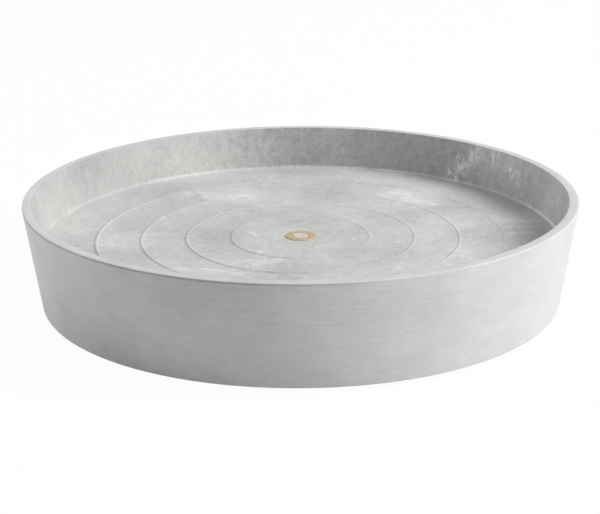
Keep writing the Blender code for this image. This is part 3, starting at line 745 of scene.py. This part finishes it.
castor = {
    "circle": 0.155819, "trail": 0.012, "wheelRadius": 0.015, "tyreWidth": 0.014, "tyreBore": 0.011,
    "tyreShoulder": 0.0025, "shoulderStep": 0.0001, "tyreBead": (0.0004, 0.0003), "mouldLine": 0.00015,
    "mouldLineHalf": (0.0002, 0.0004), "hubRadius": 0.0107, "hubRim": 0.0085, "hubWidth": 0.012,
    "hubEdge": 0.0004, "hubLip": 0.0003, "hubFillet": 0.0008, "webWidth": 0.005, "bossRadius": 0.0045,
    "bossHalf": 0.0076, "bossEdge": 0.0003, "boreEdge": 0.0002,
    "axleRadius": 0.002, "axleHead": 0.0036, "axleHeadHeight": 0.0011, "legInner": 0.008, "legFoot": 0.002,
    "sheet": 0.0016, "footRadius": 0.0055, "neckWidth": 0.017, "crownRadius": 0.013, "crownBottom": 0.0335,
    "crownDepth": 0.004, "bendRadius": 0.003, "channelHalf": 0.03, "cutHalf": 0.02, "pinCut": (0.02, 0.05),
    "cutPast": 0.001,  # how far a cutter reaches past the face
    "raceRadius": 0.0115, "raceBore": 0.005, "raceBottom": 0.0354, "raceTop": 0.0384, "raceSeam": 0.0004,
    "ballRadius": 0.0012, "ballCount": 16, "ballInset": 0.0002,
    "pinRadius": 0.003, "pinHead": 0.0052, "pinHeadHeight": 0.0013, "plateBottom": 0.0387, "plateTop": 0.0407,
    "plateSize": 0.046, "plateCorner": 0.006, "plateEdge": 0.0003, "screwSpacing": 0.032, "screwRadius": 0.0017,
    "screwHead": 0.0038, "screwHeadHeight": 0.0018, "screwRound": 0.0011, "screwTip": 0.049,
    "crossArm": 0.0021, "crossHalf": 0.00035, "crossDepth": 0.0011, "gap": 0.0003,
    "raceSegments": 48, "pinSegments": 40, "axleSegments": 36, "hubSegments": 64, "tyreSegments": 96,
    "screwSegments": 28,
}
# how far the wall leans out for each unit of height
wallLean = (saucer["rimRadius"] - saucer["footRadius"]) / (saucer["rim"] - saucer["foot"])
wallAcross = saucer["wall"] * math.hypot(1, wallLean)
corners = ((1, 1), (-1, 1), (-1, -1), (1, -1))


def innerRadius(z):
    return saucer["footRadius"] + wallLean * (z - saucer["foot"]) - wallAcross


def castorFrames():
    for number in range(4):
        turn = math.tau * number / 4
        place = Matrix.Translation((castor["circle"] * math.cos(turn), castor["circle"] * math.sin(turn), 0))
        yield place @ Matrix.Rotation(turn + math.pi, 4, "Z")


def dishProfile(size):  # from the rim down outside, up inside, over the boss and the floor, and up to the rim
    lean = math.degrees(math.atan(wallLean))
    foot, rim, floor, underside, setIn = take(size, "foot rim floor underside setIn")
    r, g, f, u, c = take(size, "rimOuterRound rimInnerRound footRounding underFillet floorFillet")
    profile = arc((size["rimRadius"] - r * setIn, rim - r), r, 90, -lean, 6)
    profile += arc((size["footRadius"] - f * size["footSetIn"], foot + f), f, -lean, -90, 6)
    profile += arc((innerRadius(foot) + f * setIn, foot + f), f, -90, -180 - lean, 6)
    profile += arc((innerRadius(underside - u) - u, underside - u), u, -lean, 90, 8)
    boss, face, drain, b, e, d = take(size, "bossRadius bossFace drainRadius bossFillet bossEdge drainEdge")
    profile += [(boss + b, underside)] + arc((boss + b, underside - b), b, 90, 180, 4)[1:]
    profile += arc((boss - e, face + e), e, 0, -90, 3)
    profile += [(drain, face)] + arc((drain + d, floor - d), d, 180, 90, 3)
    first, pitch, width, steps = take(size, "ridgeFirst ridgePitch ridgeWidth ridgeSteps")
    for ring in range(size["ridgeCount"]):
        middle = first + ring * pitch
        profile += [(middle + width * (i / steps - 0.5), floor) for i in range(steps + 1)]
        profile.append((middle + pitch / 2, floor))
    profile += arc((innerRadius(floor + c) - c, floor + c), c, -90, -lean, 10)
    return profile + arc((innerRadius(rim) + g * setIn, rim - g), g, 180 - lean, 90, 4)


def roundedSquare(size, corner, count):
    half = size / 2 - corner
    points = []
    for quarter, (sx, sy) in enumerate(corners):
        points += arc((sx * half, sy * half), corner, 90 * quarter, 90 * quarter + 90, count)
    return points


def circle(radius, count, x=0.0, y=0.0):
    return arc((x, y), radius, 0, 360, count)[:-1]


def makeSaucer(size, material):
    ridges = {label: size[f"ridge{label}"] for label in ("Count", "First", "Pitch", "Width", "Height")}
    ridges.update(Floor=size["floor"], Material=material)
    shell = turned("saucerShell", dishProfile(size), size["segments"], material, True, ridges)
    overlap, underside, padFace = take(size, "overlap underside padFace")
    ribFace = underside - size["ribDepth"]
    start, end = size["bossRadius"] - overlap, innerRadius(ribFace) + overlap
    half = size["ribThickness"] / 2
    bar = [(start, -half), (end, -half), (end, half), (start, half)]
    rib = bevelled(prism("rib", bar, ribFace, underside + overlap), size["ribEdge"])
    ribs = copied(rib, fanTree, Material=material, Count=size["ribCount"], Start=math.pi / size["ribCount"])
    shell = combine(shell, ribs, "UNION")
    pads, holes = [], []
    half, pilot, below = castor["screwSpacing"] / 2, size["pilotRadius"], padFace - overlap
    for place in castorFrames():
        pads.append(prism("pad", roundedSquare(size["padSize"], size["padCorner"], 8), padFace, underside + overlap))
        cuts = [prism("pilot", circle(pilot, 16, x * half, y * half), below, size["pilotTop"]) for x, y in corners]
        cuts.append(prism("pocket", circle(size["pocketRadius"], 32), below, size["pocketTop"]))
        for mesh in (pads[-1], *cuts):
            mesh.transform(place)
        holes += cuts
    shell = combine(shell, joined("pads", pads), "UNION")
    shell = combine(shell, joined("pilotHoles", holes), "DIFFERENCE")
    shell.name = "saucerShell"
    return smooth(shell, 32)


stoneMaterial = makeStone(stone, saucer)
addPiece("saucerShell", makeSaucer(saucer, stoneMaterial), stoneMaterial, "saucer", "stone_composite", "saucer_shell")
print("saucer turned")


# drain

drain = {
    "under": 0.0513, "flangeRadius": 0.013, "flangeHeight": 0.0006, "flangeEdge": 0.05108, "flangeSlope": 0.0014,
    "flangeLip": 0.0002, "neck": 0.0092, "lipTop": 0.0357, "lipRadius": 0.0108, "lipHeight": 0.0025,
    "lipEdge": (0.0003, 0.0004), "bore": 0.0045, "seat": 0.0066, "seatEdge": 0.0006, "step": 0.0486,
    "plugRadius": 0.0063, "plugEdge": 0.0005, "plugShoulder": 0.0489, "plugStem": 0.0042, "plugTip": 0.0322,
    "plugTaper": 0.0008, "plugDish": 0.0006, "plugDishShare": 0.8, "plugDishSteps": 6, "segments": 64,
}


def makeGrommet(size, material):
    under, neck, lip, lipTop, bore, seat, step = take(size, "under neck lipRadius lipTop bore seat step")
    slope, flangeEdge, seatEdge = take(size, "flangeSlope flangeEdge seatEdge")
    top, shoulder = under + size["flangeHeight"], size["flangeRadius"] - slope
    turns = [math.radians(turn) for turn in range(0, 91, 15)]  # the rim of the flange curves down onto the floor
    profile = [(shoulder + slope * math.sin(t), top - (top - flangeEdge) * (1 - math.cos(t))) for t in turns]
    profile += [(shoulder, flangeEdge), (shoulder - size["flangeLip"], under), (neck, under), (neck, lipTop)]
    inward, downward = size["lipEdge"]
    lipBottom = lipTop - size["lipHeight"]
    profile += [(lip - inward, lipTop), (lip, lipTop - downward), (neck, lipBottom), (bore, lipBottom)]
    profile += [(bore, step), (seat, step)] + arc((seat + seatEdge, top - seatEdge), seatEdge, 180, 90, 5)
    return smooth(turned("drainGrommet", profile, size["segments"], material), 50)


def makePlug(size, material):
    top = size["under"] + size["flangeHeight"]
    radius, stem, tip, shoulder, dish = take(size, "plugRadius plugStem plugTip plugShoulder plugDish")
    e, taper, steps, share = take(size, "plugEdge plugTaper plugDishSteps plugDishShare")
    profile = [(radius * share * i / steps, top - dish * (1 - (i / steps) ** 2)) for i in range(steps + 1)]
    profile += arc((radius - e, top - e), e, 90, 0, 4) + [(radius, shoulder), (stem, shoulder)]
    profile += [(stem, tip + taper), (stem - taper, tip), (0, tip)]
    return smooth(turned("drainPlug", profile, size["segments"], material, False), 50)


tanMaterial = makeFinish("tanRubber", tanRubber)
paleMaterial = makeFinish("paleRubber", paleRubber)
addPiece("drainGrommet", makeGrommet(drain, tanMaterial), tanMaterial, "saucer", "tan_rubber", "drain_grommet")
addPiece("drainPlug", makePlug(drain, paleMaterial), paleMaterial, "plug", "stone_composite", "drain_plug")
print("drain fitted")


# castors, each made at its own swivel axis with the wheel trailing along +X

def makePlate(size):  # outline and holes, with softened edges
    low, high, edge, gap = take(size, "plateBottom plateTop plateEdge gap")
    half = size["screwSpacing"] / 2
    loops = [roundedSquare(size["plateSize"], size["plateCorner"], 8)]
    loops += [circle(size["screwRadius"] + gap, 24, sx * half, sy * half) for sx in (1, -1) for sy in (1, -1)]
    loops.append(circle(size["pinRadius"] + gap, 32))
    curve = bpy.data.curves.new("castorPlate", "CURVE")
    curve.dimensions = "2D"
    curve.fill_mode = "BOTH"
    curve.extrude = (high - low) / 2 - edge
    curve.bevel_depth = edge
    curve.bevel_resolution = 1
    curve.offset = -edge
    for loop in loops:
        spline = curve.splines.new("POLY")
        spline.points.add(len(loop) - 1)
        for point, (x, y) in zip(spline.points, loop):
            point.co = (x, y, 0, 1)
        spline.use_cyclic_u = True
    mesh = bakeMesh(addObject("castorPlate", curve))
    mesh.transform(Matrix.Translation((0, 0, (low + high) / 2)))
    return smooth(mesh)


def makeRace(size, material):  # two pressed cups with a row of balls in the seam
    bottom, top, outer, bore, seam = take(size, "raceBottom raceTop raceRadius raceBore raceSeam")
    ballRadius, middle = size["ballRadius"], (bottom + top) / 2
    rings = []
    for low, high in ((bottom, middle - seam), (middle + seam, top)):
        r = (high - low) / 2
        profile = arc((outer - r, low + r), r, 90, -90, 8) + [(bore, low), (bore, high)]
        rings.append(turned("raceCup", profile, size["raceSegments"], material))
    ball = bmesh.new()
    bmesh.ops.create_icosphere(ball, subdivisions=2, radius=ballRadius)
    mesh = meshOf("raceBall", ball)
    mesh.transform(Matrix.Translation((outer - ballRadius - size["ballInset"], 0, middle)))
    rings.append(copied(mesh, fanTree, Material=material, Count=size["ballCount"]))
    return smooth(joined("ballRace", rings), 40)


def rivet(key, size, low, high, material):  # round heads at both ends; low and high are their seats
    radius, head, rise, segments = take(size, f"{key}Radius {key}Head {key}HeadHeight {key}Segments")
    dome = (head ** 2 + rise ** 2) / (2 * rise)
    spread = math.degrees(math.asin(min(head / dome, 1)))
    upper = arc((0, high + rise - dome), dome, 90, 90 - spread, 6)
    lower = [(r, low + high - z) for r, z in reversed(upper)]
    profile = upper + [(radius, high), (radius, low)] + lower
    return smooth(turned(f"{key}Rivet", profile, segments, material, False), 40)


def makeKingpin(size, material):
    return rivet("pin", size, size["crownBottom"] - size["gap"], size["plateTop"] + size["gap"], material)


def atAxle(mesh, size):
    axle = Matrix.Translation((size["trail"], 0, size["wheelRadius"]))
    mesh.transform(axle @ Matrix.Rotation(math.pi / 2, 4, "X"))
    return mesh


def makeAxle(size, material):
    reach = size["legInner"] + size["sheet"] + size["gap"]
    return atAxle(rivet("axle", size, -reach, reach, material), size)


def makeFork(size):  # one pressed sheet: crown, two bends, two legs
    sheet, bend, low, inner, bottom = take(size, "sheet bendRadius legFoot legInner crownBottom")
    long, wide, trail, axle, gap = take(size, "channelHalf cutHalf trail wheelRadius gap")
    outer, top, tight = inner + sheet, bottom + sheet, bend - sheet
    outline = [(-outer, low)] + arc((bend - outer, top - bend), bend, 180, 90, 8)
    outline += arc((outer - bend, top - bend), bend, 90, 0, 8) + [(outer, low), (inner, low)]
    outline += arc((inner - tight, top - sheet - tight), tight, 0, 90, 8)
    outline += arc((tight - inner, top - sheet - tight), tight, 90, 180, 8) + [(-inner, low)]
    channel = prism("channel", outline, -long, long)  # the fork is cut out of this
    channel.transform(Matrix(((0, 0, 1, 0), (1, 0, 0, 0), (0, 1, 0, 0), (0, 0, 0, 1))))
    half, above = size["neckWidth"] / 2, top + size["cutPast"]
    slope = math.degrees(math.atan2(trail, top - axle))
    leg = [(half, above), (-half, above)]
    leg += arc((trail, axle), size["footRadius"], -180 + slope / 2, slope / 2, 20)
    blade = prism("blade", leg, -wide, wide)
    blade.transform(Matrix(((1, 0, 0, 0), (0, 0, -1, 0), (0, 1, 0, 0), (0, 0, 0, 1))))
    legs = combine(channel.copy(), blade, "INTERSECT")
    disc = prism("crown", circle(size["crownRadius"], 64), bottom - size["crownDepth"], above)
    fork = combine(legs, combine(channel, disc, "INTERSECT"), "UNION")
    fork = combine(fork, prism("pinHole", circle(size["pinRadius"] + gap, 32), *size["pinCut"]), "DIFFERENCE")
    bore = prism("axleHole", circle(size["axleRadius"] + gap, 28), -wide, wide)
    fork = combine(fork, atAxle(bore, size), "DIFFERENCE")
    fork.name = "castorFork"
    return smooth(fork, 30)


def turnedBothSides(name, side, size, segments, material, angle):  # a half profile, mirrored, at the axle
    profile = side + [(r, -z) for r, z in reversed(side[1:])]
    return smooth(atAxle(turned(name, profile, segments, material), size), angle)


def makeHub(size, material):
    rim, boss, outer, edge, lip, fillet = take(size, "hubRim bossRadius hubRadius hubEdge hubLip hubFillet")
    bossHalf, bossEdge, boreEdge = take(size, "bossHalf bossEdge boreEdge")
    half, web, bore = size["hubWidth"] / 2, size["webWidth"] / 2 + fillet, size["axleRadius"] + size["gap"]
    side = [(outer, 0.0), (outer, half - edge), (outer - edge, half), (rim + lip, half), (rim, half - lip)]
    side += arc((rim - fillet, web), fillet, 0, -90, 4) + arc((boss + fillet, web), fillet, -90, -180, 4)
    side += [(boss, bossHalf - bossEdge), (boss - bossEdge, bossHalf)]
    side += [(bore + boreEdge, bossHalf), (bore, bossHalf - boreEdge)]
    return turnedBothSides("wheelHub", side, size, size["hubSegments"], material, 35)


def makeTyre(size, material):
    outer, bore, line, r = take(size, "wheelRadius tyreBore mouldLine tyreShoulder")
    half, tread = size["tyreWidth"] / 2, outer - line
    (flat, slope), (inward, sideways) = size["mouldLineHalf"], size["tyreBead"]
    side = [(outer, 0.0), (outer, flat), (tread, slope), (tread, half - r - size["shoulderStep"])]
    side += arc((tread - r, half - r), r, 0, 80, 8) + [(bore + inward, half), (bore, half - sideways)]
    return turnedBothSides("tyre", side, size, size["tyreSegments"], material, 40)


def makeScrews(size, material, seed):
    head, shank, tip, r = take(size, "screwHead screwRadius screwTip screwRound")
    arm, half, depth, spacing = take(size, "crossArm crossHalf crossDepth screwSpacing")
    seat = size["plateBottom"] - size["gap"]
    face = seat - size["screwHeadHeight"]
    profile = [(0, tip), (shank, tip - shank), (shank, seat), (head, seat)]
    profile += arc((head - r, face + r), r, 0, -90, 6) + [(0, face)]
    screw = turned("plateScrews", profile, size["screwSegments"], material, False)
    for x, y in ((arm, half), (half, arm)):
        bar = [(x * sx, y * sy) for sx, sy in corners]
        screw = combine(screw, prism("crossCut", bar, face - size["cutPast"], face + depth), "DIFFERENCE")
    return copied(smooth(screw), cornerTree, Material=material, Spacing=spacing, Seed=seed)


zincMaterial = makeFinish("zincPlate", zinc)
nylonMaterial = makeFinish("blackNylon", nylon)
treadMaterial = makeFinish("tyreRubber", tread)
castorPieces = (
    ("plate", makePlate(castor), zincMaterial, "saucer", "zinc_steel"),
    ("race", makeRace(castor, zincMaterial), zincMaterial, "saucer", "zinc_steel"),
    ("kingpin", makeKingpin(castor, zincMaterial), zincMaterial, "saucer", "zinc_steel"),
    ("fork", makeFork(castor), zincMaterial, "castor_{}_swivel_fork", "zinc_steel"),
    ("axle", makeAxle(castor, zincMaterial), zincMaterial, "castor_{}_swivel_fork", "zinc_steel"),
    ("wheel_hub", makeHub(castor, nylonMaterial), nylonMaterial, "castor_{}_wheel", "black_nylon"),
    ("tyre", makeTyre(castor, treadMaterial), treadMaterial, "castor_{}_wheel", "tyre_rubber"),
)
for number, place in enumerate(castorFrames(), start=1):
    for label, mesh, material, body, slot in castorPieces:
        copy = mesh.copy()
        copy.transform(place)
        node = f"castor_{number}_{label}"
        addPiece(f"castor{number}.{label}", copy, material, body.format(number), slot, node)
    screws = makeScrews(castor, zincMaterial, number)
    screws.transform(place)
    nodes = [f"castor_{number}_screw_{i}" for i in range(1, 5)]
    addPiece(f"castor{number}.screws", screws, zincMaterial, "saucer", "zinc_steel", *nodes)
print("castors fitted")
